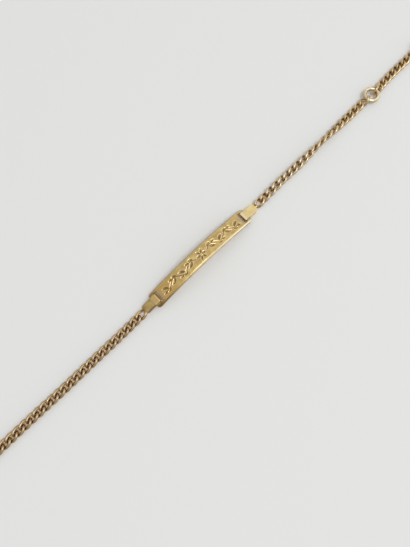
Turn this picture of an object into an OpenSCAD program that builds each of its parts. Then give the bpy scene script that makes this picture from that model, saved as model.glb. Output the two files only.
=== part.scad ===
// Curb-chain id bracelet, unfastened and lying straight on a surface.
// +X runs along the bracelet, +Z is up, and the surface is z = 0. Sizes are in millimetres.

/* [Name plate] */
// Length of the plate, straight across from end to end
plate_l = 29.05; // [27:0.05:31]
// Width of the plate
plate_w = 3.8; // [3.6:0.05:4.2]
// Thickness of the plate
plate_t = 0.8; // [0.7:0.05:0.9]
// Radius of the arch, on the plate's upper face
arch_r = 42; // [38:0.5:50]
// Bevel along the plate's long upper edges
bevel = 0.34; // [0.1:0.02:0.4]
// Rounding of the plate's corners, seen from above
corner_r = 0.45; // [0.2:0.05:0.6]
// Bar left between a slot and the plate's end, measured along the arch
bar_l = 1.1; // [0.8:0.05:1.2]
// Length of a slot along the arch
slot_l = 0.8; // [0.7:0.05:1]
// Width of a slot across the plate
slot_w = 2.5; // [2.5:0.05:2.7]
// Turn of the plate and its tabs on the surface, in degrees
plate_turn = -0.57; // [-0.8:0.01:0]
// Offset of the plate and its tabs across the bracelet
plate_offset = -0.13; // [-0.2:0.01:0]

/* [Tabs] */
// Width of the folded strip
tab_w = 2.05; // [1.9:0.05:2.1]
// Thickness of the strip
strip_t = 0.28; // [0.2:0.02:0.32]
// Air left between the strip and the bar that it wraps
tab_gap = 0.15; // [0.15:0.01:0.18]
// Reach of the left tab beyond the end of the plate
left_tab_l = 2.85; // [2.5:0.01:3.2]
// Reach of the right tab beyond the end of the plate
right_tab_l = 2.97; // [2.5:0.01:3.2]
// Shift of the left tab sideways in its slot
left_tab_shift = 0.07; // [0:0.01:0.12]
// Height of a tab at its outer end
tip_h = 1.08; // [1:0.02:1.2]
// Rounding of a tab's outer end, seen from above
tip_r = 0.8; // [0.5:0.05:1]

/* [Curb chain] */
// Distance from link to link between the left tab and the clasp
pitch = 1.8; // [1.78:0.01:1.84]
// Distance from link to link beyond the right tab, where the chain is drawn out further
right_pitch = 1.866; // [1.82:0.002:1.87]
// Half the length of a link's centre line
link_a = 1.3; // [1.28:0.01:1.34]
// Half the width of a link's centre line
link_b = 0.8; // [0.79:0.01:0.83]
// Thickness of the wire
wire_d = 0.53; // [0.44:0.01:0.53]
// Twist of a link from its middle to each end, in degrees
twist = 56; // [56:1:60]
// Squareness of a link: 1 is an ellipse, less is squarer
squareness = 0.75; // [0.7:0.01:0.85]
// Loose links between the left tab and the clasp
left_links = 30; // [24:1:34]
// Loose links between the right tab and the size ring
right_links = 20; // [16:1:26]
// Links between the size ring and the end ring
outer_links = 9; // [5:1:12]

/* [Rings and clasp] */
// Outside diameter of the size ring and the end ring
ring_d = 4.2; // [4:0.1:5]
// Wire of the size ring and the end ring
ring_wire = 0.78; // [0.6:0.02:0.78]
// Outside diameter of the clasp's ring
clasp_d = 5.5; // [5:0.1:6]
// Wire of the clasp's ring
clasp_wire = 1.1; // [0.9:0.05:1.2]
// Thickness of the clasp's thumb lug
lug_d = 0.7; // [0.6:0.05:0.8]
// Length of the thumb lug, from the middle of the clasp's wire
lug_l = 1; // [0.9:0.05:1.2]
// Place of the thumb lug round the clasp, in degrees from the chain
lug_angle = 35; // [30:1:60]
// Outside diameter of the clasp's eyelet
eyelet_d = 2.25; // [2.2:0.05:2.5]
// Wire of the clasp's eyelet
eyelet_wire = 0.55; // [0.45:0.05:0.6]

/* [Hidden] */
$fn = 64;
GOLD = [0.80, 0.66, 0.36];
PALE_GOLD = [0.86, 0.74, 0.46];

// Lie of the chain: place along the bracelet, offset across it, and roll of the links in degrees
X = 0;
Y = 1;
ROLL = 2;
LIE = [
    [-73, 0, 0], [-62, 0.34, 0], [-55, 0.3, 0], [-48, 0.2, 0], [-41, 0, 0], [-31, -0.03, 0],
    [-25, -0.12, 0], [-17, -0.06, 0], [17, -0.22, 0], [20.2, -0.22, 0], [26.4, -0.16, 42],
    [32.5, -0.24, 22], [40.4, -0.2, 98], [50.2, -0.22, 180], [53, -0.22, 180], [55, -0.2, 180],
    [60, -0.38, 0], [65, -0.1, 0], [68, 0.03, 0], [72, -0.04, 0], [80, 0, 0]];

// Link shape: rings of points round a link, and sides of its wire
rings = 16;
wire_sides = 6;
wire_r = wire_d / 2;

// Joining link, which turns upright to hold a flat ring: half sizes, twist, roll and tilt in degrees
join_a = link_a + 0.2;
join_b = link_b + 0.12;
join_middle = -38;
join_end = -90;
join_turn = 0.5;
join_roll = 3;
join_tilt = 11.5;
join_gap = 0.13;
ring_z = 1.065;

// Arch of the plate, whose axis lies below the surface
plate_end = plate_l / 2;
end_angle = asin(plate_end / arch_r);
mid_r = arch_r - plate_t / 2;
bar_half = plate_t / 2 + tab_gap;
strip_out = bar_half + strip_t;
crease_out = 0.25;
crease_in = 0.1;
tip_edge = 0.25;
arch_z = -((mid_r - strip_out) * cos(end_angle) - crease_out * sin(end_angle));
degrees_per_mm = 180 / (PI * mid_r);

// Box that a tab is trimmed in, longer and taller than the tab
trim_l = 8;
trim_h = 6;

// Solder at a tab's tip: its width, and the place of its middle out from the tip and up
solder_d = 0.7;
solder_out = 0.2;
solder_z = 0.62;

// Chain places
left_tip_x = plate_end + left_tab_l;
right_tip_x = plate_end + right_tab_l;
left_link_in = 0.3;
right_link_out = 0.175;
left_first_x = -(left_tip_x - left_link_in + link_a);
right_first_x = right_tip_x + right_link_out + link_a;
ring_r = (ring_d - ring_wire) / 2;
join_extra = join_a - link_a;
join_to_ring = join_a - wire_r - join_gap - ring_wire / 2;
right_last_x = right_first_x + right_links * right_pitch + join_extra;
size_ring_x = right_last_x + join_to_ring + ring_r;
outer_first_x = size_ring_x + ring_r + join_to_ring;
outer_last_x = outer_first_x + (outer_links - 1) * right_pitch + 2 * join_extra;
end_ring_x = outer_last_x + join_to_ring + ring_r;
end_tilt = asin((ring_z - ring_wire / 2) / (2 * ring_r));
left_last_x = left_first_x - left_links * pitch - join_extra;
eyelet_r = (eyelet_d - eyelet_wire) / 2;
eyelet_x = left_last_x - join_a + wire_r + join_gap + eyelet_wire / 2 - eyelet_r;
clasp_r = (clasp_d - clasp_wire) / 2;
eyelet_to_clasp = eyelet_r + clasp_r - eyelet_wire / 4;
clasp_tilt = asin((ring_z - clasp_wire / 2) / (eyelet_r + eyelet_to_clasp + clasp_r));

// The whole is set so that its two ends are equally far from the origin
right_reach = end_ring_x - ring_r + (2 * ring_r) * cos(end_tilt) + ring_wire / 2;
left_reach = -eyelet_x - eyelet_r
    + (eyelet_r + eyelet_to_clasp + clasp_r) * cos(clasp_tilt) + clasp_wire / 2;
centre_shift = (left_reach - right_reach) / 2;

// Offset and roll of the lie at a place x
function lie_y(x) = lookup(x, [for (row = LIE) [row[X], row[Y]]]);
function lie_roll(x) = lookup(x, [for (row = LIE) [row[X], row[ROLL]]]);

// A number to a power, with its sign kept
function powered(v, power) = sign(v) * pow(abs(v), power);

// Twist of a link at c, which runs from -1 to 1 along it; turn is where the far twist is reached
function twist_at(c, near, middle, far, turn) =
    c < 0 ? middle + (near - middle) * -c : middle + (far - middle) * min(1, c / turn);

// Centre line of a link about its own middle
function link_line(a, b, near, middle, far, turn) = [
    for (i = [0 : rings - 1])
        let (
            angle = i * 360 / rings,
            c = powered(cos(angle), squareness),
            s = powered(sin(angle), squareness),
            phi = twist_at(c, near, middle, far, turn))
        [a * c, b * s * cos(phi), b * s * sin(phi)]];

// A point turned about X by roll and then tipped so that +X rises by tilt
function rolled(p, roll) = [p.x, p.y * cos(roll) - p.z * sin(roll), p.y * sin(roll) + p.z * cos(roll)];
function tipped(p, tilt) = [p.x * cos(tilt) - p.z * sin(tilt), p.y, p.x * sin(tilt) + p.z * cos(tilt)];

// A unit vector
function unit(v) = v / norm(v);

// Points of a wire along a closed line: each ring square to the line, one point facing out of the loop
function wire_points(line) = [
    for (i = [0 : rings - 1])
        let (
            along = unit(line[(i + 1) % rings] - line[(i + rings - 1) % rings]),
            out = unit(line[i] - along * (line[i] * along)),
            side = cross(along, out))
        for (k = [0 : wire_sides - 1])
            let (angle = k * 360 / wire_sides)
            line[i] + wire_r * (out * cos(angle) + side * sin(angle))];

// Faces of that wire
wire_faces = [
    for (i = [0 : rings - 1], k = [0 : wire_sides - 1])
        let (
            next_i = (i + 1) % rings,
            next_k = (k + 1) % wire_sides,
            p = i * wire_sides + k,
            q = next_i * wire_sides + k,
            r = next_i * wire_sides + next_k,
            s = i * wire_sides + next_k)
        each [[p, q, r], [p, r, s]]];

// A link that rests on the surface at x, yawed along the lie of the chain
module resting(points, x) {
    low = min([for (p = points) p.z]);
    yaw = atan2(lie_y(x + pitch) - lie_y(x - pitch), 2 * pitch);
    translate([x, lie_y(x), -low])
        rotate([0, 0, yaw])
            polyhedron(points, wire_faces);
}

// Ordinary curb link at x
module curb_link(x) {
    line = link_line(link_a, link_b, twist, 0, -twist, 1);
    resting([for (p = wire_points(line)) rolled(p, lie_roll(x))], x);
}

// Link that joins the chain to a ring. Its upright end faces +X, or -X when turned
module joining_link(x, turned) {
    line = link_line(join_a, join_b, twist, join_middle, join_end, join_turn);
    set = [for (p = wire_points(line)) tipped(rolled(p, join_roll), join_tilt)];
    resting(turned ? [for (p = set) [-p.x, -p.y, p.z]] : set, x);
}

// Sets the plate and the strips of its tabs as they lie
module as_plate_lies() {
    translate([0, plate_offset, 0])
        rotate([0, 0, plate_turn])
            children();
}

// Section of the plate in the plane of radius and width
module plate_section() {
    polygon([
        [arch_r - plate_t, -plate_w / 2],
        [arch_r - bevel, -plate_w / 2],
        [arch_r, -plate_w / 2 + bevel],
        [arch_r, plate_w / 2 - bevel],
        [arch_r - bevel, plate_w / 2],
        [arch_r - plate_t, plate_w / 2]]);
}

// Rectangle with round corners
module round_rect(w, h, r) {
    square([w - 2 * r, h], center = true);
    square([w, h - 2 * r], center = true);
    for (sx = [-1, 1], sy = [-1, 1])
        translate([sx * (w / 2 - r), sy * (h / 2 - r)])
            circle(r);
}

// Frame on the arch's middle surface, inward mm from the plate's right end: X out along the arch, Z up
module on_arch(inward) {
    angle = end_angle - inward * degrees_per_mm;
    translate([0, 0, arch_z])
        rotate([0, angle, 0])
            translate([0, 0, mid_r])
                children();
}

// What is cut off the two corners of an end, whose edge lies at X = 0
module corner_waste() {
    for (side = [0, 1])
        mirror([0, side])
            translate([-corner_r, plate_w / 2 - corner_r])
                difference() {
                    square(2 * corner_r);
                    circle(corner_r);
                }
}

module plate() {
    through = 4 * plate_t;
    color(GOLD)
        translate([centre_shift, 0, 0])
            as_plate_lies()
                difference() {
                    translate([0, 0, arch_z])
                        rotate([90, 0, 0])
                            rotate([0, 0, 90 - end_angle])
                                rotate_extrude(angle = 2 * end_angle)
                                    plate_section();
                    for (side = [0, 1])
                        mirror([side, 0, 0]) {
                            on_arch(bar_l + slot_l / 2)
                                cube([slot_l, slot_w, through], center = true);
                            on_arch(0)
                                linear_extrude(through, center = true)
                                    corner_waste();
                        }
                }
}

// Side view of a tab in the frame of the right-hand tab, X out and Y up
module tab_side(tip_x) {
    // Points round the plate's end bar, in the arch's own slope there
    inner = bar_l + tab_gap + strip_t;
    function end_point(out, up) = [
        mid_r * sin(end_angle) + out * cos(end_angle) + up * sin(end_angle),
        arch_z + mid_r * cos(end_angle) - out * sin(end_angle) + up * cos(end_angle)];
    fold_r = strip_t;
    difference() {
        union() {
            polygon([
                end_point(fold_r - inner, strip_out),
                end_point(crease_in, strip_out),
                [tip_x - tip_edge, tip_h],
                [tip_x, tip_h - tip_edge],
                [tip_x, tip_edge],
                [tip_x - tip_edge, 0],
                end_point(crease_out, -strip_out),
                end_point(fold_r - inner, -strip_out)]);
            polygon([
                end_point(-inner, strip_out - fold_r),
                end_point(fold_r - inner, strip_out - fold_r),
                end_point(fold_r - inner, fold_r - strip_out),
                end_point(-inner, fold_r - strip_out)]);
            for (up = [fold_r - strip_out, strip_out - fold_r])
                translate(end_point(fold_r - inner, up))
                    circle(fold_r);
        }
        polygon([
            end_point(-bar_l - tab_gap, bar_half),
            end_point(tab_gap, bar_half),
            end_point(tab_gap, -bar_half),
            end_point(-bar_l - tab_gap, -bar_half)]);
    }
}

// Strip of a right-hand tab, folded round the end bar and trimmed round at its tip
module tab_strip(tip_x) {
    intersection() {
        rotate([90, 0, 0])
            linear_extrude(tab_w, center = true)
                tab_side(tip_x);
        translate([tip_x - trim_l / 2, 0, 0])
            linear_extrude(trim_h, center = true)
                round_rect(trim_l, tab_w, tip_r);
    }
}

// Drop of solder that joins the first link to a right-hand tab
module solder(tip_x) {
    translate([tip_x + solder_out, 0, solder_z])
        sphere(d = solder_d);
}

// Each tab is one body with the link soldered to its tip
module left_tab() {
    color(GOLD)
        translate([centre_shift, 0, 0]) {
            as_plate_lies()
                translate([0, left_tab_shift, 0])
                    rotate([0, 0, 180]) {
                        tab_strip(left_tip_x);
                        solder(left_tip_x);
                    }
            curb_link(left_first_x);
        }
}

module right_tab() {
    color(PALE_GOLD)
        translate([centre_shift, 0, 0]) {
            as_plate_lies() {
                tab_strip(right_tip_x);
                solder(right_tip_x);
            }
            curb_link(right_first_x);
        }
}

module left_chain() {
    color(GOLD)
        translate([centre_shift, 0, 0]) {
            for (i = [1 : left_links - 1])
                curb_link(left_first_x - i * pitch);
            joining_link(left_last_x, true);
        }
}

module right_chain() {
    color(GOLD)
        translate([centre_shift, 0, 0]) {
            for (i = [1 : right_links - 1])
                curb_link(right_first_x + i * right_pitch);
            joining_link(right_last_x, false);
        }
}

module outer_chain() {
    color(GOLD)
        translate([centre_shift, 0, 0]) {
            joining_link(outer_first_x, true);
            for (i = [1 : outer_links - 2])
                curb_link(outer_first_x + join_extra + i * right_pitch);
            joining_link(outer_last_x, false);
        }
}

// Ring of round wire, flat and centred
module wire_ring(r, wire) {
    rotate_extrude()
        translate([r, 0])
            circle(d = wire);
}

module size_ring() {
    color(PALE_GOLD)
        translate([centre_shift + size_ring_x, lie_y(size_ring_x), ring_z])
            wire_ring(ring_r, ring_wire);
}

// The end ring hangs on its link at one side and rests on the surface at the other
module end_ring() {
    color(PALE_GOLD)
        translate([centre_shift + end_ring_x - ring_r, lie_y(end_ring_x), ring_z])
            rotate([0, end_tilt, 0])
                translate([ring_r, 0, 0])
                    wire_ring(ring_r, ring_wire);
}

module clasp() {
    color(PALE_GOLD)
        translate([centre_shift + eyelet_x + eyelet_r, lie_y(eyelet_x), ring_z])
            rotate([0, -clasp_tilt, 0])
                translate([-eyelet_r, 0, 0]) {
                    wire_ring(eyelet_r, eyelet_wire);
                    translate([-eyelet_to_clasp, 0, 0]) {
                        wire_ring(clasp_r, clasp_wire);
                        rotate([0, 0, lug_angle])
                            translate([clasp_r + lug_l / 2, 0, 0])
                                rotate([0, 90, 0])
                                    cylinder(h = lug_l, d = lug_d, center = true);
                    }
                }
}

plate();
left_tab();
right_tab();
left_chain();
right_chain();
size_ring();
outer_chain();
end_ring();
clasp();
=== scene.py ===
import math

import bpy
import numpy as np
from mathutils import Matrix, Vector


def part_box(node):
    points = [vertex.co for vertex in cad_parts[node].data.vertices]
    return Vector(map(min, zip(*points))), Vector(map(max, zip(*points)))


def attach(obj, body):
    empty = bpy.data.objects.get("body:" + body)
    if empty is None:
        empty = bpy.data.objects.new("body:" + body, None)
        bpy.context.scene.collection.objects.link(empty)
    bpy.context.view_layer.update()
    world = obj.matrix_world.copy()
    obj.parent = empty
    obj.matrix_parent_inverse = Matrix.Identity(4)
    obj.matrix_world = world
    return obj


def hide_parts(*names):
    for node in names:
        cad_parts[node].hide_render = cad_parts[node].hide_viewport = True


# A curb-chain id bracelet in yellow gold, lying unfastened on a pale surface.
# Sizes are in millimetres in the bracelet's own frame, and MM turns them into Blender's metres.
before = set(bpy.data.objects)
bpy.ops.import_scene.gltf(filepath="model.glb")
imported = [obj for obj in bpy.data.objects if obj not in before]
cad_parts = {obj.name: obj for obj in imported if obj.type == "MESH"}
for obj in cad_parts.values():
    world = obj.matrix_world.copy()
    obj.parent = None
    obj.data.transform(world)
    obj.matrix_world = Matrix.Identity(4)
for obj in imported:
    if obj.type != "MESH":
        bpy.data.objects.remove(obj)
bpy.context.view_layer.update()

MM = 0.001
TURN = 2 * math.pi

# Name plate
PLATE_L = 29.05
PLATE_W = 3.8
PLATE_T = 0.8
ARCH_R = 42.0
PLATE_YAW = -0.57
PLATE_Y = -0.13
BEVEL = 0.34
CORNER_R = 0.45
BAR_L = 1.1
SLOT_L = 0.8
SLOT_W = 2.5
EDGE_R = 0.07
BEVEL_SOFTNESS = 0.05
PLATE_GRID = 0.062

# Engraving: a rosette, waving stems, and the leaves in each bend of a stem
PETALS = 6
PETAL_ROOT = 0.2
PETAL_HALF_W = 0.29
ROSETTE_R = 1.3
STEM_START = 1.7
STEM_END = 11.7
STEM_WAVE = 5.0
STEM_HEIGHT = 0.58
STEM_HALF_W = 0.17
LEAF_HALF_W = 0.27
GROOVE_SLOPE = 0.65
DIRTY_DEPTH = 0.09
# Most of the painted highlight on the pale edge round each stroke
STROKE_EDGE_HIGHLIGHT = 0.4
# Each leaf: how far its root lies before the crest, its height as a share of the stem's,
# heading, curl and length
LEAVES = (
    (0.8, 0.62, 55, -65, 1.3),
    (0.35, 0.75, -62, 62, 1.75),
    (-0.35, 0.8, 34, -50, 1.05))

# Tabs
TAB_W = 2.05
STRIP_T = 0.28
TAB_GAP = 0.15
LEFT_TAB_REACH = 2.85
RIGHT_TAB_REACH = 2.97
LEFT_TAB_SHIFT = 0.07
TIP_H = 1.08
TIP_R = 0.8
CREASE_IN = 0.1
CREASE_OUT = 0.25
LEFT_LINK_IN = 0.3
RIGHT_LINK_OUT = 0.175
SOLDER_D = 0.68
SOLDER_OUT = 0.2
SOLDER_Z = 0.62
TAB_EDGE_R = 0.07

# Curb chain: its wire is thicker than the source's, which keeps more air between the links. A few of
# the links drawn here overlap a little.
PITCH = 1.8
RIGHT_PITCH = 1.866
SOURCE_LINK_A = 1.3
SOURCE_WIRE_D = 0.53
SOURCE_TWIST = 56
LINK_A = 1.32
LINK_B = 0.8
WIRE_D = 0.58
TWIST = 46
SQUARENESS = 0.95
LEFT_LINKS = 30
RIGHT_LINKS = 20
OUTER_LINKS = 9
LINK_RINGS = 56
WIRE_SIDES = 14
# Grime and painted shade near neighbouring links: how near counts
GRIME_AND_SHADE_REACH = 0.3
# Painted shade on the links: in the recesses, at the link ends and on the outer flanks, more on the near (-Y)
# flank
RECESS = 0.2
RECESS_SHADE = 0.9
NEAR_FLANK_SHADE = 0.7
FAR_FLANK_SHADE = 0.35
FLANK_FROM = 0.3
FLANK_FULL = 0.85
NEAR_END_FROM = 0.72
NEAR_END_FULL = 0.92
FAR_END_FROM = 0.88
FAR_END_SHADE = 0.8
# Towards the far end, from 36 to 44 mm along X, the links' wear and painted highlight fade and their grime
# and painted shade lessen
FAR_WEAR_AND_HIGHLIGHT_FADE = 0.8
FAR_DIRT_AND_SHADE_FADE = 0.22
FAR_FADE_FROM = 36.0
FAR_FADE_FULL = 44.0

# Joining link, which turns upright to hold a flat ring
JOIN_EXTRA = 0.2
JOIN_A = SOURCE_LINK_A + JOIN_EXTRA
JOIN_B = 0.92
JOIN_MIDDLE = -38
JOIN_END = -90
JOIN_TURN = 0.5
JOIN_ROLL = 3
JOIN_TILT = 11.5
JOIN_GAP = 0.13
RING_Z = 1.065

# Rings and clasp: the rings' wire is thicker than the source's, as the photo shows it, and cuts a
# little into the joining links
RING_D = 4.2
RING_WIRE = 0.9
SOURCE_RING_WIRE = 0.78
RING_STEPS = 96
RING_SIDES = 28
# Painted shade on the rings' inner and outer flanks
RING_FLANK_SHADE = 0.6
RING_FLANK_FROM = 0.72
RING_FLANK_FULL = 0.97
CLASP_D = 5.5
CLASP_WIRE = 1.1
EYELET_D = 2.25
EYELET_WIRE = 0.55
LUG_D = 0.7
LUG_L = 1.0
LUG_ANGLE = 35

# Lie of the chain: place along the bracelet, offset across it, and roll of the links in degrees
LIE = np.array([
    (-73, 0, 0), (-62, 0.34, 0), (-55, 0.3, 0), (-48, 0.2, 0), (-41, 0, 0), (-31, -0.03, 0),
    (-25, -0.12, 0), (-17, -0.06, 0), (17, -0.22, 0), (20.2, -0.22, 0), (26.4, -0.16, 42),
    (32.5, -0.24, 22), (40.4, -0.2, 98), (50.2, -0.22, 180), (53, -0.22, 180), (55, -0.2, 180),
    (60, -0.38, 0), (65, -0.1, 0), (68, 0.03, 0), (72, -0.04, 0), (80, 0, 0)])

# Places worked out from those sizes
PLATE_END = PLATE_L / 2
END_ANGLE = math.asin(PLATE_END / ARCH_R)
MID_R = ARCH_R - PLATE_T / 2
HALF_ARC = MID_R * END_ANGLE
BAR_HALF = PLATE_T / 2 + TAB_GAP
STRIP_OUT = BAR_HALF + STRIP_T
ARCH_Z = -((MID_R - STRIP_OUT) * math.cos(END_ANGLE) - CREASE_OUT * math.sin(END_ANGLE))
LEFT_TIP = PLATE_END + LEFT_TAB_REACH
RIGHT_TIP = PLATE_END + RIGHT_TAB_REACH
LEFT_FIRST_X = -(LEFT_TIP - LEFT_LINK_IN + SOURCE_LINK_A)
RIGHT_FIRST_X = RIGHT_TIP + RIGHT_LINK_OUT + SOURCE_LINK_A
RING_R = (RING_D - RING_WIRE) / 2
SOURCE_RING_R = (RING_D - SOURCE_RING_WIRE) / 2
JOIN_TO_RING = JOIN_A - SOURCE_WIRE_D / 2 - JOIN_GAP - SOURCE_RING_WIRE / 2
RIGHT_LAST_X = RIGHT_FIRST_X + RIGHT_LINKS * RIGHT_PITCH + JOIN_EXTRA
SIZE_RING_X = RIGHT_LAST_X + JOIN_TO_RING + SOURCE_RING_R
OUTER_FIRST_X = SIZE_RING_X + SOURCE_RING_R + JOIN_TO_RING
OUTER_LAST_X = OUTER_FIRST_X + (OUTER_LINKS - 1) * RIGHT_PITCH + 2 * JOIN_EXTRA
END_RING_X = OUTER_LAST_X + JOIN_TO_RING + SOURCE_RING_R
END_TILT = math.asin((RING_Z - RING_WIRE / 2) / (SOURCE_RING_R + RING_R))
LEFT_LAST_X = LEFT_FIRST_X - LEFT_LINKS * PITCH - JOIN_EXTRA
EYELET_R = (EYELET_D - EYELET_WIRE) / 2
EYELET_X = LEFT_LAST_X - JOIN_A + SOURCE_WIRE_D / 2 + JOIN_GAP + EYELET_WIRE / 2 - EYELET_R
CLASP_R = (CLASP_D - CLASP_WIRE) / 2
EYELET_TO_CLASP = EYELET_R + CLASP_R - EYELET_WIRE / 4
CLASP_TILT = math.asin((RING_Z - CLASP_WIRE / 2) / (EYELET_R + EYELET_TO_CLASP + CLASP_R))

# Room light: the direction it is brightest towards, and its least and greatest strength
BRIGHT_SIDE = (0.9, -0.2, 0.38)
ROOM_DARK = 0.45
ROOM_LIGHT = 0.80

# Bright band of the room: its side, where along that side it starts and is full, its top and its strength
BAND_SIDE = (0.6, -0.8, 0)
BAND_START = 0.45
BAND_FULL = 0.95
BAND_TOP = 0.45
BAND_LIGHT = 0.6

# Painted warm light reflected from the gold: colour that the surface takes on where gold covers most of its
# view, and how far off that gold counts
FLOOR_REFLECTED_GOLD = (0.98, 0.73, 0.44)
FLOOR_REFLECTION_REACH = 0.9

# Pale surface
FLOOR_COLOUR = (0.81, 0.82, 0.815)
FLOOR_ROUGHNESS = 0.85
FLOOR_HALF = 1.5
FLOOR_OPEN = 0.6
FLOOR_COVERED = 0.4

# Gold: the scale of its clouds and of its smears, how sharply clouds stand out, the range of its
# roughness, and the height of its unevenness in metres
CLOUD_SCALE = 800
SMEAR_SCALE = 1200
NOISE_DETAIL = 5
CLOUD_LOW = 0.35
CLOUD_HIGH = 0.65
SMOOTHER = 0.75
ROUGHER = 1.3
UNEVEN_HEIGHT = 0.00002

# Lights: the direction of each from the bracelet, its distance, size and power
LAMP = ((0.64, -0.285, 0.71), 0.8, 0.35, 0.3)
CEILING = ((0.08, -0.33, 0.94), 0.9, 0.3, 2.0)
ROOM_COLOUR = (1.0, 0.99, 0.975)

# Camera: its place, its azimuth, elevation and roll, and its lens and film width
CAMERA_PLACE = (-15.04, -15.15, 87.34)
CAMERA_TURN = (-47.86, 78.48, 3.06)
LENS = 26
FILM_WIDTH = 36

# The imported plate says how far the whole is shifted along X
plate_low, plate_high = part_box("plate")
SHIFT_X = (plate_low.x + plate_high.x) / 2 / MM


# Shapes

def lie_y(x):
    return float(np.interp(x, LIE[:, 0], LIE[:, 1]))


def lie_roll(x):
    return float(np.interp(x, LIE[:, 0], LIE[:, 2]))


def powered(value, power):
    return np.sign(value) * np.abs(value) ** power


def link_line(a, b, near, middle, far, turn=1.0):
    """Closed centre line of a link, whose twist runs from near through middle to far along X."""
    angle = np.arange(LINK_RINGS) * TURN / LINK_RINGS
    c = powered(np.cos(angle), SQUARENESS)
    s = powered(np.sin(angle), SQUARENESS)
    twist = np.where(c < 0, middle - (near - middle) * c, middle + (far - middle) * np.minimum(1, c / turn))
    twist = np.radians(twist)
    return np.stack([a * c, b * s * np.cos(twist), b * s * np.sin(twist)], axis=1)


def about_x(points, degrees):
    c, s = math.cos(math.radians(degrees)), math.sin(math.radians(degrees))
    x, y, z = points.T
    return np.stack([x, y * c - z * s, y * s + z * c], axis=1)


def about_z(points, angle):
    c, s = math.cos(angle), math.sin(angle)
    x, y, z = points.T
    return np.stack([x * c - y * s, x * s + y * c, z], axis=1)


def tipped(points, angle):
    """Points turned about Y so that +X rises by angle."""
    c, s = math.cos(angle), math.sin(angle)
    x, y, z = points.T
    return np.stack([x * c - z * s, y, x * s + z * c], axis=1)


def closed_tube(line, radius, sides):
    """Points and quads of a round wire along a closed line. The quads face inwards, which doesn't show
    in a render but leaves the wires inside out."""
    along = np.roll(line, -1, axis=0) - np.roll(line, 1, axis=0)
    along /= np.linalg.norm(along, axis=1, keepdims=True)
    out = line - along * np.sum(line * along, axis=1, keepdims=True)
    out /= np.linalg.norm(out, axis=1, keepdims=True)
    side = np.cross(along, out)
    angle = np.arange(sides) * TURN / sides
    ring = out[:, None] * np.cos(angle)[None, :, None] + side[:, None] * np.sin(angle)[None, :, None]
    points = (line[:, None] + radius * ring).reshape(-1, 3)
    rings = len(line)
    faces = []
    for i in range(rings):
        for k in range(sides):
            j, m = (i + 1) % rings, (k + 1) % sides
            faces.append((i * sides + k, j * sides + k, j * sides + m, i * sides + m))
    return points, faces


def resting(line, x, radius):
    """Centre line of a link whose wire rests on the surface at x, yawed along the lie of the chain."""
    yaw = math.atan2(lie_y(x + PITCH) - lie_y(x - PITCH), 2 * PITCH)
    low = np.array([0, 0, line[:, 2].min() - radius])
    return about_z(line - low, yaw) + np.array([x, lie_y(x), 0])


def curb_link(x):
    """Centre line, wire radius, own line and roll of an ordinary link at x."""
    line = link_line(LINK_A, LINK_B, TWIST, 0, -TWIST)
    return resting(about_x(line, lie_roll(x)), x, WIRE_D / 2), WIRE_D / 2, line, lie_roll(x)


def joining_link(x, turned=False):
    """The same for a link whose upright end holds a ring, at +X, or at -X when turned."""
    line = link_line(JOIN_A, JOIN_B, SOURCE_TWIST, JOIN_MIDDLE, JOIN_END, JOIN_TURN)
    line = tipped(about_x(line, JOIN_ROLL), math.radians(JOIN_TILT))
    if turned:
        line = line * np.array([-1, -1, 1])
    return resting(line, x, SOURCE_WIRE_D / 2), SOURCE_WIRE_D / 2, 0 * line, 0


def to_line(points, line):
    """Distance from each point to the nearest point of a line."""
    return np.linalg.norm(points[:, None] - line[None], axis=2).min(axis=1)


def grime_and_shade_near(points, links):
    """Share of grime and painted shade on a wire at points near its neighbouring links, where cloth and
    fingers don't reach and shade falls between the links.
    """
    gap = np.min([to_line(points, link[0]) - link[1] for link in links], axis=0)
    return np.clip(1 - gap / GRIME_AND_SHADE_REACH, 0, 1)


def link_shape(link):
    """Round wire of a link, with the painted shade and the wear and painted highlight of each of its points:
    painted shade darkens the strands that lie recessed, the link's ends and its outer flanks, and the
    strands that stand out are worn and painted lighter."""
    line, radius, own, roll = link
    points, faces = closed_tube(line, radius, WIRE_SIDES)
    out = (points - np.repeat(line, WIRE_SIDES, axis=0)) / radius
    facing = about_x(out, -roll)[:, 2]
    along, _, height = np.repeat(own, WIRE_SIDES, axis=0).T
    standing = np.clip(height * facing / RECESS, -1, 1)
    # Painted shade at the link's ends, where its neighbours overlap it, more at its -X end
    ends = np.maximum(
        ramp(-along / LINK_A, NEAR_END_FROM, NEAR_END_FULL),
        FAR_END_SHADE * ramp(along / LINK_A, FAR_END_FROM, 1))
    # Painted shade on the outer flanks, more on the near (-Y) flank
    across = np.repeat(line[:, 1] - line[:, 1].mean(), WIRE_SIDES)
    flank = ramp(out[:, 1] * np.sign(across), FLANK_FROM, FLANK_FULL)
    flank_shade = flank * np.where(across < 0, NEAR_FLANK_SHADE, FAR_FLANK_SHADE)
    # Painted shade on the recessed strands, at the ends and on the flanks
    dirt_and_shade = np.maximum(RECESS_SHADE * np.maximum(ends, -standing), flank_shade)
    # Wear and painted highlight on the strands that stand out, less at the link ends
    return (points, faces), dirt_and_shade, np.maximum(0, standing * (1 - ends))


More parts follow.
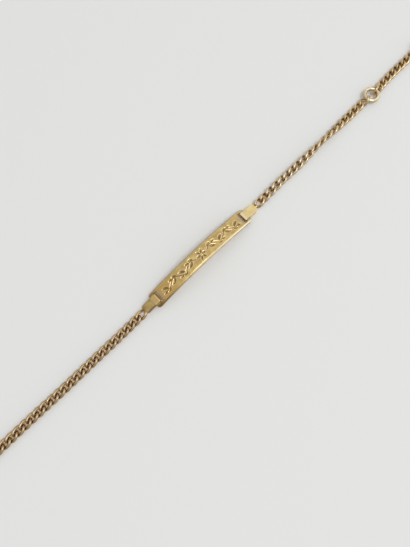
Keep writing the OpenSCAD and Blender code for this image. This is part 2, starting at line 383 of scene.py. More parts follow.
def chain_shape(links, first=0):
    """A stretch of chain from its links, drawn from the first one on, with its grime and painted shade, and
    its wear and painted highlight.
    """
    parts, dirt_and_shade, wear_and_highlight = [], [], []
    for i in range(first, len(links)):
        part, own_shade, own_wear_and_highlight = link_shape(links[i])
        parts.append(part)
        # Towards the far end the wear and painted highlight fade, and the grime and painted shade lessen
        far = ramp(part[0][:, 0], FAR_FADE_FROM, FAR_FADE_FULL)
        # Painted shade of the link itself, and grime and painted shade near its neighbours
        both = np.maximum(own_shade, grime_and_shade_near(part[0], links[max(0, i - 1):i] + links[i + 1:i + 2]))
        dirt_and_shade.append(both * (1 - FAR_DIRT_AND_SHADE_FADE * far))
        wear_and_highlight.append(own_wear_and_highlight * (1 - FAR_WEAR_AND_HIGHLIGHT_FADE * far))
    return joined(parts), {"dirt_and_shade": np.concatenate(dirt_and_shade), "wear_and_highlight": np.concatenate(wear_and_highlight)}


def joined(parts):
    """Several (points, faces) as one."""
    points, faces, start = [], [], 0
    for part_points, part_faces in parts:
        points.append(part_points)
        faces += [tuple(start + v for v in face) for face in part_faces]
        start += len(part_points)
    return np.concatenate(points), faces


def wire_ring(radius, wire, rings=RING_STEPS, sides=RING_SIDES):
    angle = np.arange(rings) * TURN / rings
    line = np.stack([radius * np.cos(angle), radius * np.sin(angle), 0 * angle], axis=1)
    return closed_tube(line, wire / 2, sides)


def ring_flank_shade():
    """Share of painted shade on a ring's wire, which lies on its inner and outer flanks."""
    angle = np.arange(RING_SIDES) * TURN / RING_SIDES
    flank = ramp(np.abs(np.cos(angle)), RING_FLANK_FROM, RING_FLANK_FULL)
    return np.tile(RING_FLANK_SHADE * flank, RING_STEPS)


def turned_body(profile, sides=24):
    """Body of revolution about X, from (x, radius) places along it."""
    angle = np.arange(sides) * TURN / sides
    points = np.array([(x, r * math.cos(a), r * math.sin(a)) for x, r in profile for a in angle])
    faces = [tuple(range(sides))[::-1], tuple(range(len(points) - sides, len(points)))]
    for i in range(len(profile) - 1):
        for k in range(sides):
            m = (k + 1) % sides
            faces.append((i * sides + k, i * sides + m, (i + 1) * sides + m, (i + 1) * sides + k))
    return points, faces


def thumb_lug():
    """Thumb lug of the clasp: a short round peg with a waist and a domed end, out from the clasp's wire."""
    radius = LUG_D / 2
    dome = [(LUG_L - radius + radius * math.sin(a), radius * math.cos(a)) for a in np.linspace(0.1, 1.5, 9)]
    points, faces = turned_body(
        [(0, 0.8 * radius), (0.45 * LUG_L, 0.72 * radius), (0.6 * LUG_L, 0.9 * radius)] + dome)
    return about_z(points + np.array([CLASP_R, 0, 0]), math.radians(LUG_ANGLE)), faces


def solder_drop(tip_x):
    """Drop of solder that joins the first link to a right-hand tab."""
    radius = SOLDER_D / 2
    profile = [(-radius * math.cos(a), radius * math.sin(a)) for a in np.linspace(0.1, 3.04, 15)]
    points, faces = turned_body(profile)
    return points + np.array([tip_x + SOLDER_OUT, 0, SOLDER_Z]), faces


def paint(piece, name, shares):
    """Gives each point of a piece its share of a layer that the material knows by name."""
    layer = piece.data.attributes.new(name, "FLOAT", "POINT")
    layer.data.foreach_set("value", np.asarray(shares, dtype=np.float32))


def make_piece(name, shape, node, material, sharp=40):
    """A piece that rides on the one body and stands for its CAD node. Its points are in millimetres."""
    points, faces = shape
    points = (points + np.array([SHIFT_X, 0, 0])) * MM
    mesh = bpy.data.meshes.new(name)
    mesh.from_pydata(points.tolist(), [], faces)
    mesh.validate()
    mesh.polygons.foreach_set("use_smooth", [True] * len(mesh.polygons))
    mesh.set_sharp_from_angle(angle=math.radians(sharp))
    piece = bpy.data.objects.new(name, mesh)
    bpy.context.scene.collection.objects.link(piece)
    mesh.materials.append(material)
    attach(piece, "root")
    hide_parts(node)
    return piece


# Name plate

def on_plate(points):
    """Points of the plate or a tab, set as the plate lies: a little turned and off the middle."""
    return about_z(points, math.radians(PLATE_YAW)) + np.array([0, PLATE_Y, 0])


def leaf(root, heading, length, half_width, curl=0.0):
    """A pointed leaf drawn as one stroke from its root, whose heading in degrees turns by curl."""
    share = np.linspace(0, 1, 36)
    angle = np.radians(heading + curl * share)
    step = length / (len(share) - 1)
    line = np.cumsum(np.stack([np.cos(angle), np.sin(angle)], axis=1) * step, axis=0) + np.array(root)
    return line, half_width * np.sin(math.pi * share) ** 0.7 * (1.25 - 0.5 * share)


def ornament():
    """Engraved strokes, each as points along the arch and across it and half widths there:
    a rosette in the middle, and on either side of it a waving stem with leaves."""
    strokes = []
    for k in range(PETALS):
        turn = k * TURN / PETALS
        root = PETAL_ROOT * np.array([math.cos(turn), math.sin(turn)])
        strokes.append(leaf(root, math.degrees(turn), ROSETTE_R - PETAL_ROOT, PETAL_HALF_W))
    along = np.linspace(STEM_START, STEM_END, 420)
    wave = STEM_HEIGHT * np.sin(TURN * (along - STEM_START) / STEM_WAVE)
    thin = STEM_HALF_W * np.clip((STEM_END - along) / 1.2 + 0.35, 0, 1)
    bends = round(2 * (STEM_END - STEM_START) / STEM_WAVE)
    for side in (-1, 1):
        strokes.append((np.stack([side * along, wave], axis=1), thin))
        for bend in range(bends):
            up = 1 if bend % 2 == 0 else -1
            crest = STEM_START + (bend + 0.5) * STEM_WAVE / 2
            for back, rise, heading, curl, length in LEAVES:
                root = (crest - back, up * STEM_HEIGHT * rise)
                half = LEAF_HALF_W * length ** 0.5
                line, half_width = leaf(root, up * heading, length, half, up * curl)
                strokes.append((line * np.array([side, 1]), half_width))
    return strokes


def to_strokes(u, v):
    """How far inside the nearest engraved stroke each place u along the arch and v across it is."""
    strokes = ornament()
    centres = np.concatenate([points for points, _ in strokes])
    widths = np.concatenate([half for _, half in strokes])
    places = np.stack([u.ravel(), v.ravel()], axis=1)
    inside = np.empty(len(places))
    chunk = 4000
    for start in range(0, len(places), chunk):
        gap = places[start:start + chunk, None] - centres[None]
        reach = widths[None] - np.hypot(gap[..., 0], gap[..., 1])
        inside[start:start + chunk] = reach.max(axis=1)
    return inside.reshape(u.shape)


def ramp(values, start, end):
    """Share that rises from 0 at start to 1 at end."""
    return np.clip((values - start) / (end - start), 0, 1)


def round_drop(distance, radius):
    """How far a rounded edge has dropped at a distance in from it."""
    inside = np.clip(radius - distance, 0, radius)
    return radius - np.sqrt(radius ** 2 - inside ** 2)


def edge_steps(radius, count=5):
    """Distances in from an edge that draw its rounding well."""
    return [radius * (1 - math.cos(k * math.pi / 2 / count)) for k in range(count + 1)]


def filled(stops, step):
    """Sorted stops with even steps between those that lie further apart than step."""
    stops = sorted(set(round(s, 5) for s in stops))
    line = [stops[0]]
    for a, b in zip(stops, stops[1:]):
        count = max(1, math.ceil((b - a) / step - 1e-6))
        line += [a + (b - a) * (i + 1) / count for i in range(count)]
    return np.array(line)


def plate_shape():
    """The arched plate as a fine grid, engraved, with bevelled long edges and a slot near each end."""
    half_w = PLATE_W / 2
    slot_outer = HALF_ARC - BAR_L
    slot_inner = slot_outer - SLOT_L
    rounding = edge_steps(EDGE_R)
    bevel_stops = [0, 0.02, 0.05, 0.12, 0.2, 0.27, 0.32, 0.36, 0.41, 0.48]
    end_stops = [HALF_ARC - d for d in rounding] + [slot_outer + d for d in rounding]
    end_stops += [slot_inner - d for d in rounding]
    end_stops += [HALF_ARC - CORNER_R * (1 - math.cos(k * math.pi / 16)) for k in range(9)]
    u_line = filled(end_stops + [-s for s in end_stops], PLATE_GRID)
    side_stops = [half_w - d for d in bevel_stops + rounding] + [SLOT_W / 2 + d for d in rounding]
    v_line = filled(side_stops + [-s for s in side_stops], PLATE_GRID)
    u, v = np.meshgrid(u_line, v_line, indexing="ij")

    # The rounded plan corners pull the outer lines in near the ends
    past = np.clip(np.abs(u) - (HALF_ARC - CORNER_R), 0, CORNER_R)
    width = half_w - CORNER_R + np.sqrt(CORNER_R ** 2 - past ** 2)
    rail = np.clip(np.abs(v) - SLOT_W / 2, 0, None) / (half_w - SLOT_W / 2)
    v = np.sign(v) * (np.minimum(np.abs(v), SLOT_W / 2) + rail * (width - SLOT_W / 2))

    beyond = np.hypot(past, np.clip(np.abs(v) - (half_w - CORNER_R), 0, None))
    corner = np.where((past > 0) & (np.abs(v) > half_w - CORNER_R), CORNER_R - beyond, 9)
    outline = np.minimum(np.minimum(HALF_ARC - np.abs(u), half_w - np.abs(v)), corner)
    to_slot = np.hypot(
        np.clip(np.maximum(np.abs(u) - slot_outer, slot_inner - np.abs(u)), 0, None),
        np.clip(np.abs(v) - SLOT_W / 2, 0, None))
    edge = np.minimum(np.clip(outline, 0, None), to_slot)
    side = BEVEL - (half_w - np.abs(v))
    bevel = (side + np.sqrt(side ** 2 + BEVEL_SOFTNESS ** 2)) / 2
    inside = to_strokes(u, v)
    groove = GROOVE_SLOPE * np.maximum(0, inside)
    top = PLATE_T / 2 - bevel - round_drop(edge, EDGE_R) - groove
    bottom = -PLATE_T / 2 + round_drop(edge, EDGE_R)

    def on_arch(height):
        radius = MID_R + height
        return np.stack([radius * np.sin(u / MID_R), v, ARCH_Z + radius * np.cos(u / MID_R)], axis=-1)

    points = on_plate(np.concatenate([on_arch(top).reshape(-1, 3), on_arch(bottom).reshape(-1, 3)]))
    rows, columns = u.shape
    under = rows * columns
    u_mid = (np.abs(u_line[1:]) + np.abs(u_line[:-1])) / 2
    v_mid = (np.abs(v_line[1:]) + np.abs(v_line[:-1])) / 2
    solid = ~np.logical_and(
        ((u_mid > slot_inner) & (u_mid < slot_outer))[:, None], (v_mid < SLOT_W / 2)[None])
    faces = []
    for i in range(rows - 1):
        for j in range(columns - 1):
            if not solid[i, j]:
                continue
            a, b = i * columns + j, (i + 1) * columns + j
            faces.append((a, b, b + 1, a + 1))
            faces.append((under + a, under + a + 1, under + b + 1, under + b))
            if i == 0 or not solid[i - 1, j]:
                faces.append((a + 1, under + a + 1, under + a, a))
            if i == rows - 2 or not solid[i + 1, j]:
                faces.append((b, under + b, under + b + 1, b + 1))
            if j == 0 or not solid[i, j - 1]:
                faces.append((a, under + a, under + b, b))
            if j == columns - 2 or not solid[i, j + 1]:
                faces.append((b + 1, under + b + 1, under + a + 1, a + 1))
    used = np.unique(np.array(faces))
    place = np.full(len(points), -1)
    place[used] = np.arange(len(used))
    faces = [tuple(int(place[k]) for k in face) for face in faces]
    # Painted light and shade, and dirt: the lower bevel is painted bright towards the right, the upper
    # bevel a little, and a pale edge runs round each stroke, all as painted highlight. Painted shade
    # darkens the rim, the plate's ends, the slots' surrounds and the lower bevel's left part, and the left
    # part of the face is painted warmer and darker as shade. The rails at the left end are darker,
    # purple-grey lies from just inside each slot outwards, and dirt lies in the bottoms of the grooves.
    # Ramps of to_right run along the plate, from 0 at its left end to 1 at its right, and the other ramps
    # are in millimetres from the edge they name.
    to_right = ramp(u, -HALF_ARC, HALF_ARC)
    on_bevel = ramp(half_w - np.abs(v), 1.3 * BEVEL, 0.7 * BEVEL)
    on_rim = np.where(v < 0, ramp(half_w + v, 0.13, 0.05), ramp(half_w - v, 0.24, 0.1))
    left_end = ramp(u, 2.6 - HALF_ARC, 1.2 - HALF_ARC)
    by_slot = ramp(to_slot, 0.3, 0.05)
    # Painted highlight on the lower bevel, growing towards the right, and a little on the upper bevel
    wear_and_highlight = on_bevel * np.where(v < 0, ramp(to_right, 0.25, 0.9), 0.2 + 0.2 * to_right) * (1 - on_rim)
    # Painted highlight: a pale edge round each engraved stroke
    wear_and_highlight = np.maximum(wear_and_highlight, STROKE_EDGE_HIGHLIGHT * ramp(inside, -0.13, -0.06) * ramp(inside, 0.03, 0))
    on_end = ramp(HALF_ARC - np.abs(u), 0.18, 0.07)
    # Painted shade along the rim, most along the upper edge and towards the left, and at the plate's ends
    rim_shade = np.maximum(on_rim * np.where(v < 0, 0.65 - 0.5 * to_right, 1 - 0.3 * to_right), 0.9 * on_end)
    # Dirt in the bottoms of the grooves, with the painted shade of the rim and ends
    dirt_and_shade = np.maximum(0.77 * ramp(groove, 0, DIRTY_DEPTH), rim_shade)
    # Painted shade on the lower bevel's left part
    dirt_and_shade = np.maximum(dirt_and_shade, 0.9 * on_bevel * np.where(v < 0, ramp(to_right, 0.3, 0.1), 0))
    # Painted shade: the left part of the plate's face is painted warmer and darker
    warm_shade = ramp(to_right, 0.3, 0.12)
    # Darker rails at the left end, and painted shade round the slots
    left_rails = left_end * np.where(v < 0, ramp(-v, 1.1, 1.4), 0.6 * ramp(v, 1.1, 1.4))
    dirt_and_shade = np.maximum(dirt_and_shade, np.maximum(left_rails, 0.4 * by_slot))
    # Purple-grey on the face from just inside each slot outwards, as wide as the slot, and painted shade on
    # the lower bevel's left part
    grey_and_shade = ramp(slot_inner - np.abs(u), 0.9, 0.3) * ramp(SLOT_W / 2 + 0.3 - np.abs(v), 0, 0.5)
    grey_and_shade = np.maximum(grey_and_shade, 0.3 * on_bevel * np.where(v < 0, ramp(to_right, 0.3, 0.15), 0))

    def on_both(upper, lower):
        """Shares on the upper face and on the underside, for the points in use."""
        return np.where(used < under, upper.ravel()[used % under], lower.ravel()[used % under])

    upper_only = (("wear_and_highlight", wear_and_highlight), ("grey_and_shade", grey_and_shade), ("warm_shade", warm_shade))
    layers = {name: on_both(share, 0 * u) for name, share in upper_only}
    # The underside's outline takes the painted shade of the rim and ends, which darkens the side walls
    layers["dirt_and_shade"] = on_both(dirt_and_shade, np.maximum(on_rim, on_end))
    return (points[used], faces), layers


def make_plate(material):
    shape, layers = plate_shape()
    piece = make_piece("plate_engraved", shape, "plate", material, sharp=50)
    for name, shares in layers.items():
        paint(piece, name, shares)


# Tabs

def rounded_loop(corners, step=0.04):
    """Closed outline through (x, z, radius) corners, each rounded, with points about step apart."""
    line = []
    count = len(corners)
    for i, (x, z, radius) in enumerate(corners):
        here = np.array([x, z])
        back = np.array(corners[i - 1][:2]) - here
        ahead = np.array(corners[(i + 1) % count][:2]) - here
        back /= np.linalg.norm(back)
        ahead /= np.linalg.norm(ahead)
        half = math.acos(np.clip(back @ ahead, -1, 1)) / 2
        reach = radius / math.tan(half)
        start, end = here + back * reach, here + ahead * reach
        centre = here + (back + ahead) / np.linalg.norm(back + ahead) * radius / math.sin(half)
        a0 = math.atan2(*(start - centre)[::-1])
        sweep = (math.atan2(*(end - centre)[::-1]) - a0 + math.pi) % TURN - math.pi
        pieces = max(3, math.ceil(abs(sweep) * radius / step))
        for k in range(pieces + 1):
            angle = a0 + sweep * k / pieces
            line.append(centre + radius * np.array([math.cos(angle), math.sin(angle)]))
    dense = []
    for p, q in zip(line, line[1:] + line[:1]):
        parts = max(1, math.ceil(np.linalg.norm(q - p) / step))
        dense += [p + (q - p) * k / parts for k in range(parts)]
    return np.array(dense)


def grown(loop, distance):
    """A closed outline, drawn anticlockwise, moved outwards by distance."""
    along = np.roll(loop, -1, axis=0) - np.roll(loop, 1, axis=0)
    along /= np.linalg.norm(along, axis=1, keepdims=True)
    return loop + distance * np.stack([along[:, 1], -along[:, 0]], axis=1)


def ray_hits(loop, centre, targets):
    """Where rays from centre towards the targets cross a closed outline."""
    hits = []
    a, b = loop, np.roll(loop, -1, axis=0)
    edge = b - a
    for target in targets:
        ray = target - centre
        cross = ray[0] * edge[:, 1] - ray[1] * edge[:, 0]
        cross = np.where(np.abs(cross) < 1e-12, 1e-12, cross)
        gap = a - centre
        far = (gap[:, 0] * edge[:, 1] - gap[:, 1] * edge[:, 0]) / cross
        share = (gap[:, 0] * ray[1] - gap[:, 1] * ray[0]) / cross
        good = (far > 0) & (share >= -1e-9) & (share <= 1 + 1e-9)
        hits.append(centre + ray * far[good].min())
    return np.array(hits)


def tab_shape(tip_x):
    """A right-hand tab that reaches to tip_x: a folded strip round the plate's end bar, flattened shut
    beyond it."""
    def end_point(out, up, radius=0.0):
        return (
            MID_R * math.sin(END_ANGLE) + out * math.cos(END_ANGLE) + up * math.sin(END_ANGLE),
            ARCH_Z + MID_R * math.cos(END_ANGLE) - out * math.sin(END_ANGLE) + up * math.cos(END_ANGLE),
            radius)

    inner = BAR_L + TAB_GAP + STRIP_T
    wire_r = SOURCE_WIRE_D / 2
    outer_loop = rounded_loop([
        end_point(-inner, -STRIP_OUT, STRIP_T), end_point(CREASE_OUT, -STRIP_OUT, 0.3),
        (tip_x, 0, wire_r), (tip_x, TIP_H, wire_r),
        end_point(CREASE_IN, STRIP_OUT, 0.3), end_point(-inner, STRIP_OUT, STRIP_T)])
    hole_loop = rounded_loop([
        end_point(-BAR_L - TAB_GAP, -BAR_HALF, 0.12), end_point(TAB_GAP, -BAR_HALF, 0.12),
        end_point(TAB_GAP, BAR_HALF, 0.12), end_point(-BAR_L - TAB_GAP, BAR_HALF, 0.12)])
    centre = np.array(end_point((TAB_GAP - BAR_L - TAB_GAP) / 2, 0)[:2])
    hole_loop = ray_hits(hole_loop, centre, outer_loop)

    slices = []
    edge_turns = 6
    half_w = TAB_W / 2
    for k in range(edge_turns + 1):
        angle = k * math.pi / 2 / edge_turns
        slices.append((
            half_w - TAB_EDGE_R + TAB_EDGE_R * math.cos(angle), TAB_EDGE_R * (1 - math.sin(angle))))
    flat_count = 24
    inside = half_w - TAB_EDGE_R
    slices += [(inside * (1 - 2 * i / flat_count), 0.0) for i in range(1, flat_count)]
    slices += [(-y, drop) for y, drop in slices[:edge_turns + 1][::-1]]

    def laid(loop, y, drop):
        past = max(0.0, abs(y) - (half_w - TIP_R))
        tip = tip_x - TIP_R + math.sqrt(TIP_R ** 2 - past ** 2) - drop
        x = np.minimum(loop[:, 0], tip)
        return np.stack([x, np.full(len(loop), y), loop[:, 1]], axis=1)

    outer = [laid(grown(outer_loop, -drop), y, drop) for y, drop in slices]
    hole = [laid(grown(hole_loop, drop), y, 0) for y, drop in slices]
    n, rows = len(outer_loop), len(slices)
    points = np.concatenate(outer + hole)
    base = n * rows
    faces = []
    for j in range(rows - 1):
        for k in range(n):
            m = (k + 1) % n
            a, b, c, d = j * n + k, j * n + m, (j + 1) * n + m, (j + 1) * n + k
            faces.append((a, b, c, d))
            faces.append((base + a, base + d, base + c, base + b))
    last = (rows - 1) * n
    for k in range(n):
        m = (k + 1) % n
        faces.append((k, base + k, base + m, m))
        faces.append((last + m, base + last + m, base + last + k, last + k))
    return points, faces


def make_tab(name, node, left, links, material):
    """Tab with its soldered link, joined by a union that leaves a few open and doubled edges.
    The links are the soldered one and its loose neighbour."""
    tip = LEFT_TIP if left else RIGHT_TIP

    def laid(shape):
        """A shape drawn for a right-hand tab, as it lies."""
        points, faces = shape
        if left:
            points = points * np.array([-1, -1, 1]) + np.array([0, LEFT_TAB_SHIFT, 0])
        return on_plate(points), faces

    strip = make_piece(name, laid(tab_shape(tip)), node, material, sharp=35)
    soldered, own_shade, _ = link_shape(links[0])
    added = [
        make_piece(name + "_link", soldered, node, material),
        make_piece(name + "_solder", laid(solder_drop(tip)), node, material)]
    for other in added:
        union = strip.modifiers.new(other.name, "BOOLEAN")
        union.operation = "UNION"
        union.solver = "EXACT"
        union.object = other
    depsgraph = bpy.context.evaluated_depsgraph_get()
    fused = bpy.data.meshes.new_from_object(strip.evaluated_get(depsgraph))
    strip.modifiers.clear()
    strip.data = fused
    for other in added:
        bpy.data.objects.remove(other)

    places = np.array([vertex.co for vertex in fused.vertices]) / MM - np.array([SHIFT_X, 0, 0])
    on_link = to_line(places, links[0][0]) < links[0][1] + 0.03
    nearest = np.array([np.argmin(np.linalg.norm(soldered[0] - place, axis=1)) for place in places])
    straight = about_z(places - np.array([0, PLATE_Y, 0]), -math.radians(PLATE_YAW))
    out = np.abs(straight[:, 0])
    y = straight[:, 1] - (LEFT_TAB_SHIFT if left else 0)
    # Ramps are in millimetres out along the tab, or across it
    if left:
        # Painted highlight on the left tab's bend over the end bar, most on its lower side
        bent = ramp(out, PLATE_END + 0.3, PLATE_END - 0.1)
        wear_and_highlight = bent * np.maximum(0.5, ramp(-y, 0.5, 0.75))
        # Painted shade along the left tab's edges, most on the lower one and less on the bend, and darker
        # towards its tip
        tab_edge_shade = np.maximum(ramp(-y, 0.7, 0.92), 0.5 * ramp(y, 0.75, 1)) * (1 - 0.8 * bent)
        tab_edge_shade = np.maximum(tab_edge_shade, 0.45 * ramp(out, LEFT_TIP - 0.8, LEFT_TIP - 0.1))
    else:
        # Painted highlight on the right tab's part over the end bar
        wear_and_highlight = 0.7 * ramp(out, PLATE_END - 0.6, PLATE_END - 1)
        # Painted shade along the right tab's lower edge
        tab_edge_shade = 0.4 * ramp(-y, 0.95, 1.02)
    paint(strip, "link", on_link)
    paint(strip, "wear_and_highlight", wear_and_highlight)
    # The soldered link takes grime and painted shade like the chain's links, and the rest of the tab the
    # painted shade of its edges
    paint(strip, "dirt_and_shade", np.where(on_link, np.maximum(grime_and_shade_near(places, links[1:]), own_shade[nearest]), tab_edge_shade))


# Materials

def node_tree(name):
    material = bpy.data.materials.new(name)
    material.use_nodes = True
    material.node_tree.nodes.clear()
    return material, material.node_tree.nodes, material.node_tree.links


def gold(name, light, dark, roughness, bump, layers=()):
    """Worn polished gold: cloudy colour, smeared roughness and a soft unevenness. Each layer is the name
    of a painted share, the colour that it brings, and the most of it."""
    material, nodes, links = node_tree(name)
    output = nodes.new("ShaderNodeOutputMaterial")
    shader = nodes.new("ShaderNodeBsdfPrincipled")
    shader.inputs["Metallic"].default_value = 1.0
    links.new(shader.outputs["BSDF"], output.inputs["Surface"])
    place = nodes.new("ShaderNodeTexCoord")

    cloud = nodes.new("ShaderNodeTexNoise")
    cloud.inputs["Scale"].default_value = CLOUD_SCALE
    cloud.inputs["Detail"].default_value = NOISE_DETAIL
    links.new(place.outputs["Object"], cloud.inputs["Vector"])
    tone = nodes.new("ShaderNodeMix")
    tone.data_type = "RGBA"
    tone.inputs["A"].default_value = (*light, 1)
    tone.inputs["B"].default_value = (*dark, 1)
    clouded = nodes.new("ShaderNodeMapRange")
    clouded.inputs["From Min"].default_value = CLOUD_LOW
    clouded.inputs["From Max"].default_value = CLOUD_HIGH
    links.new(cloud.outputs["Fac"], clouded.inputs["Value"])
    links.new(clouded.outputs["Result"], tone.inputs["Factor"])
    colour = tone.outputs["Result"]
    for layer_name, layer_colour, most in layers:
        painted = nodes.new("ShaderNodeAttribute")
        painted.attribute_name = layer_name
        share = nodes.new("ShaderNodeMapRange")
        share.inputs["To Max"].default_value = most
        links.new(painted.outputs["Fac"], share.inputs["Value"])
        layer = nodes.new("ShaderNodeMix")
        layer.data_type = "RGBA"
        layer.inputs["B"].default_value = (*layer_colour, 1)
        links.new(share.outputs["Result"], layer.inputs["Factor"])
        links.new(colour, layer.inputs["A"])
        colour = layer.outputs["Result"]
    links.new(colour, shader.inputs["Base Color"])

    smear = nodes.new("ShaderNodeTexNoise")
    smear.inputs["Scale"].default_value = SMEAR_SCALE
    smear.inputs["Detail"].default_value = NOISE_DETAIL
    links.new(place.outputs["Object"], smear.inputs["Vector"])
    rough = nodes.new("ShaderNodeMapRange")
    rough.inputs["To Min"].default_value = roughness * SMOOTHER
    rough.inputs["To Max"].default_value = roughness * ROUGHER
    links.new(smear.outputs["Fac"], rough.inputs["Value"])
    links.new(rough.outputs["Result"], shader.inputs["Roughness"])

    uneven = nodes.new("ShaderNodeBump")
    uneven.inputs["Strength"].default_value = bump
    uneven.inputs["Distance"].default_value = UNEVEN_HEIGHT
    links.new(smear.outputs["Fac"], uneven.inputs["Height"])
    links.new(uneven.outputs["Normal"], shader.inputs["Normal"])
    return material


def pale_floor_material():
    """A pale surface, with painted warm light reflected from the gold close above it or beside it."""
    material, nodes, links = node_tree("pale_surface")
    output = nodes.new("ShaderNodeOutputMaterial")
    shader = nodes.new("ShaderNodeBsdfPrincipled")
    shader.inputs["Roughness"].default_value = FLOOR_ROUGHNESS
    links.new(shader.outputs["BSDF"], output.inputs["Surface"])
    # Painted reflected light: where gold covers much of the surface's view, its colour turns warm
    open_above = nodes.new("ShaderNodeAmbientOcclusion")
    open_above.inputs["Distance"].default_value = FLOOR_REFLECTION_REACH * MM
    share = nodes.new("ShaderNodeMapRange")
    share.inputs["From Min"].default_value = FLOOR_OPEN
    share.inputs["From Max"].default_value = FLOOR_COVERED
    links.new(open_above.outputs["AO"], share.inputs["Value"])
    tint = nodes.new("ShaderNodeMix")
    tint.data_type = "RGBA"
    tint.inputs["A"].default_value = (*FLOOR_COLOUR, 1)
    tint.inputs["B"].default_value = (*FLOOR_REFLECTED_GOLD, 1)
    links.new(share.outputs["Result"], tint.inputs["Factor"])
    links.new(tint.outputs["Result"], shader.inputs["Base Color"])
    return material


# Surroundings

def make_floor():
    mesh = bpy.data.meshes.new("surface")
    corners = [(x * FLOOR_HALF, y * FLOOR_HALF, 0) for x, y in ((-1, -1), (1, -1), (1, 1), (-1, 1))]
    mesh.from_pydata(corners, [], [(0, 1, 2, 3)])
    floor = bpy.data.objects.new("surface", mesh)
    bpy.context.scene.collection.objects.link(floor)
    mesh.materials.append(pale_floor_material())


def make_world():
    """Room light that grows towards one side, with a bright band low down at the right of the view."""
    world = bpy.data.worlds.new("soft_room")
    bpy.context.scene.world = world
    world.use_nodes = True
    nodes, links = world.node_tree.nodes, world.node_tree.links
    back = nodes["Background"]
    place = nodes.new("ShaderNodeTexCoord")

    def graded(direction, low, high, least, most):
        """Level that goes from least to most as the view direction's share along a direction goes from
        low to high."""
        towards = nodes.new("ShaderNodeVectorMath")
        towards.operation = "DOT_PRODUCT"
        towards.inputs[1].default_value = direction
        links.new(place.outputs["Generated"], towards.inputs[0])
        level = nodes.new("ShaderNodeMapRange")
        level.inputs["From Min"].default_value = low
        level.inputs["From Max"].default_value = high
        level.inputs["To Min"].default_value = least
        level.inputs["To Max"].default_value = most
        links.new(towards.outputs["Value"], level.inputs["Value"])
        return level.outputs["Result"]

    def combined(operation, first, second):
        node = nodes.new("ShaderNodeMath")
        node.operation = operation
        links.new(first, node.inputs[0])
        links.new(second, node.inputs[1])
        return node.outputs["Value"]

    room = graded(BRIGHT_SIDE, -1, 1, ROOM_DARK, ROOM_LIGHT)
    low_down = graded((0, 0, 1), 0, BAND_TOP, BAND_LIGHT, 0)
    on_right = graded(BAND_SIDE, BAND_START, BAND_FULL, 0, 1)
    links.new(combined("ADD", room, combined("MULTIPLY", low_down, on_right)), back.inputs["Strength"])
    back.inputs["Color"].default_value = (*ROOM_COLOUR, 1)


def make_light(name, towards, distance, size, power):
    """Round soft light in a direction from the bracelet, facing it."""
    light = bpy.data.lights.new(name, "AREA")
    light.shape = "DISK"
    light.size = size
    light.energy = power
    holder = bpy.data.objects.new(name, light)
    direction = Vector(towards).normalized()
    holder.location = direction * distance
    holder.rotation_euler = (-direction).to_track_quat("-Z", "Y").to_euler()
    bpy.context.scene.collection.objects.link(holder)


def make_camera():
    """The photograph's steep view. Azimuth 0 looks along +Y, elevation is above the surface."""
    azimuth, elevation, roll = (math.radians(angle) for angle in CAMERA_TURN)
    ahead = Vector((
        -math.sin(azimuth) * math.cos(elevation),
        math.cos(azimuth) * math.cos(elevation),
        -math.sin(elevation)))
    level = Vector((math.cos(azimuth), math.sin(azimuth), 0))
    above = level.cross(ahead)
    right = level * math.cos(roll) + above * math.sin(roll)
    up = above * math.cos(roll) - level * math.sin(roll)
    camera = bpy.data.cameras.new("camera")
    camera.lens = LENS
    camera.sensor_width = FILM_WIDTH
    camera.clip_start = 0.002
    camera.clip_end = 10
    holder = bpy.data.objects.new("camera", camera)
    place = Vector(CAMERA_PLACE) + Vector((SHIFT_X, 0, 0))
    holder.matrix_world = Matrix.Translation(place * MM) @ Matrix((right, up, -ahead)).transposed().to_4x4()
    bpy.context.scene.collection.objects.link(holder)
    bpy.context.scene.camera = holder


# Making

make_camera()
bpy.context.scene.view_settings.view_transform = "Standard"
# Dark colour of dirt and of painted shade
DIRT_AND_SHADE_COLOUR = (0.15, 0.075, 0.012)
# Pale colour of painted highlight on the plate and the right tab
PALE_HIGHLIGHT_COLOUR = (0.99, 0.91, 0.70)
# Warm dark colour of the painted shade on the plate's left part
WARM_SHADE_COLOUR = (0.70, 0.46, 0.15)
# Purple-grey colour by the slots, which also paints shade on the lower bevel's left part
GREY_AND_SHADE_COLOUR = (0.50, 0.40, 0.36)
# Colour of the painted highlight on the left tab's bend
BEND_HIGHLIGHT_COLOUR = (0.98, 0.73, 0.31)
# The left chain's gold is painted darker and the right chain's lighter: painted shade and painted light on
# one gold, which the outer chain shares
SHADED_LEFT_CHAIN = (0.64, 0.46, 0.25)
LIT_RIGHT_CHAIN = (0.80, 0.61, 0.36)
plate_gold = gold(
    "plate_gold", (0.78, 0.57, 0.24), (0.55, 0.385, 0.145), 0.30, 0.25,
    # The plate's layers: painted shade on its left part, purple-grey with painted shade, painted highlight,
    # and dirt with painted shade
    (("warm_shade", WARM_SHADE_COLOUR, 1), ("grey_and_shade", GREY_AND_SHADE_COLOUR, 0.6), ("wear_and_highlight", PALE_HIGHLIGHT_COLOUR, 1), ("dirt_and_shade", DIRT_AND_SHADE_COLOUR, 0.78)))
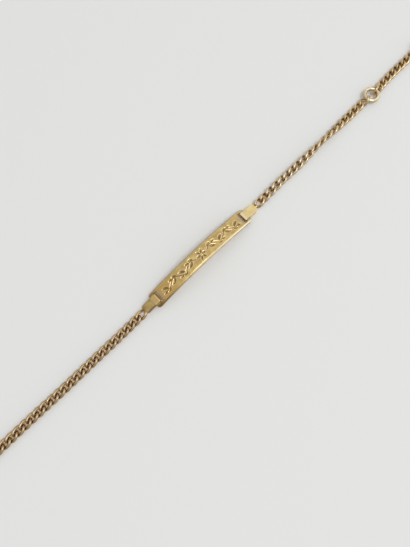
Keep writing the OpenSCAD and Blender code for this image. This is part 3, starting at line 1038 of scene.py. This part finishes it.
# The left tab's gold is painted darker and the right tab's lighter, as painted shade and painted light on one
# gold
left_gold = gold(
    "left_tab_gold", (0.66, 0.47, 0.20), (0.46, 0.325, 0.13), 0.30, 0.25,
    # The left tab's bend takes painted highlight, its soldered link the left chain's colour, and its edges
    # painted shade
    (("wear_and_highlight", BEND_HIGHLIGHT_COLOUR, 1), ("link", SHADED_LEFT_CHAIN, 1), ("dirt_and_shade", DIRT_AND_SHADE_COLOUR, 0.85)))
right_gold = gold(
    "right_tab_gold", (0.96, 0.77, 0.38), (0.84, 0.66, 0.31), 0.28, 0.25,
    # The right tab's part over the bar takes painted highlight, its soldered link the right chain's colour,
    # and its lower edge painted shade
    (("wear_and_highlight", PALE_HIGHLIGHT_COLOUR, 1), ("link", LIT_RIGHT_CHAIN, 1), ("dirt_and_shade", DIRT_AND_SHADE_COLOUR, 0.85)))
# The chains' wear colours are the tone of wear and painted highlight on the strands that stand out
left_chain_gold = gold(
    "left_chain_gold", SHADED_LEFT_CHAIN, (0.49, 0.345, 0.175), 0.36, 0.2,
    (("wear_and_highlight", (0.56, 0.435, 0.29), 0.85), ("dirt_and_shade", DIRT_AND_SHADE_COLOUR, 0.66)))
right_chain_gold = gold(
    "right_chain_gold", LIT_RIGHT_CHAIN, (0.60, 0.455, 0.25), 0.33, 0.2,
    (("wear_and_highlight", (0.86, 0.71, 0.50), 0.8), ("dirt_and_shade", DIRT_AND_SHADE_COLOUR, 0.74)))
# The rings' dark layer is painted shade on their flanks
ring_gold = gold("ring_gold", (0.88, 0.74, 0.50), (0.79, 0.65, 0.42), 0.24, 0.2, (("dirt_and_shade", DIRT_AND_SHADE_COLOUR, 0.85),))

left_links = [curb_link(LEFT_FIRST_X - i * PITCH) for i in range(LEFT_LINKS)]
left_links += [joining_link(LEFT_LAST_X, True)]
right_links = [curb_link(RIGHT_FIRST_X + i * RIGHT_PITCH) for i in range(RIGHT_LINKS)]
right_links += [joining_link(RIGHT_LAST_X)]
outer_links = [joining_link(OUTER_FIRST_X, True)]
outer_links += [curb_link(OUTER_FIRST_X + JOIN_EXTRA + i * RIGHT_PITCH) for i in range(1, OUTER_LINKS - 1)]
outer_links += [joining_link(OUTER_LAST_X)]

make_plate(plate_gold)
make_tab("left_tab_folded", "left_tab", True, left_links[:2], left_gold)
make_tab("right_tab_folded", "right_tab", False, right_links[:2], right_gold)
for name, node, links, first, material in (
        ("left_chain_links", "left_chain", left_links, 1, left_chain_gold),
        ("right_chain_links", "right_chain", right_links, 1, right_chain_gold),
        ("outer_chain_links", "outer_chain", outer_links, 0, right_chain_gold)):
    shape, layers = chain_shape(links, first)
    piece = make_piece(name, shape, node, material)
    for layer, shares in layers.items():
        paint(piece, layer, shares)

ring_points, ring_faces = wire_ring(RING_R, RING_WIRE)
size_ring = make_piece(
    "size_ring_wire", (ring_points + np.array([SIZE_RING_X, lie_y(SIZE_RING_X), RING_Z]), ring_faces),
    "size_ring", ring_gold)
end_points = tipped(ring_points + np.array([SOURCE_RING_R, 0, 0]), -END_TILT)
end_place = np.array([END_RING_X - SOURCE_RING_R, lie_y(END_RING_X), RING_Z])
end_ring = make_piece(
    "end_ring_wire", (end_points + end_place, ring_faces), "end_ring", ring_gold)
# Painted shade on both rings' inner and outer flanks
paint(size_ring, "dirt_and_shade", ring_flank_shade())
paint(end_ring, "dirt_and_shade", ring_flank_shade())

eyelet_points, eyelet_faces = wire_ring(EYELET_R, EYELET_WIRE, 64, 20)
body_points, body_faces = wire_ring(CLASP_R, CLASP_WIRE, 128, 36)
lug_points, lug_faces = thumb_lug()
body_middle = np.array([EYELET_TO_CLASP, 0, 0])
clasp_points, clasp_faces = joined([
    (eyelet_points, eyelet_faces),
    (body_points - body_middle, body_faces),
    (lug_points - body_middle, lug_faces)])
clasp_points = tipped(clasp_points - np.array([EYELET_R, 0, 0]), CLASP_TILT)
make_piece(
    "clasp_ring", (clasp_points + np.array([EYELET_X + EYELET_R, lie_y(EYELET_X), RING_Z]), clasp_faces),
    "clasp", ring_gold)

make_floor()
make_world()
make_light("lamp", *LAMP)
make_light("ceiling", *CEILING)
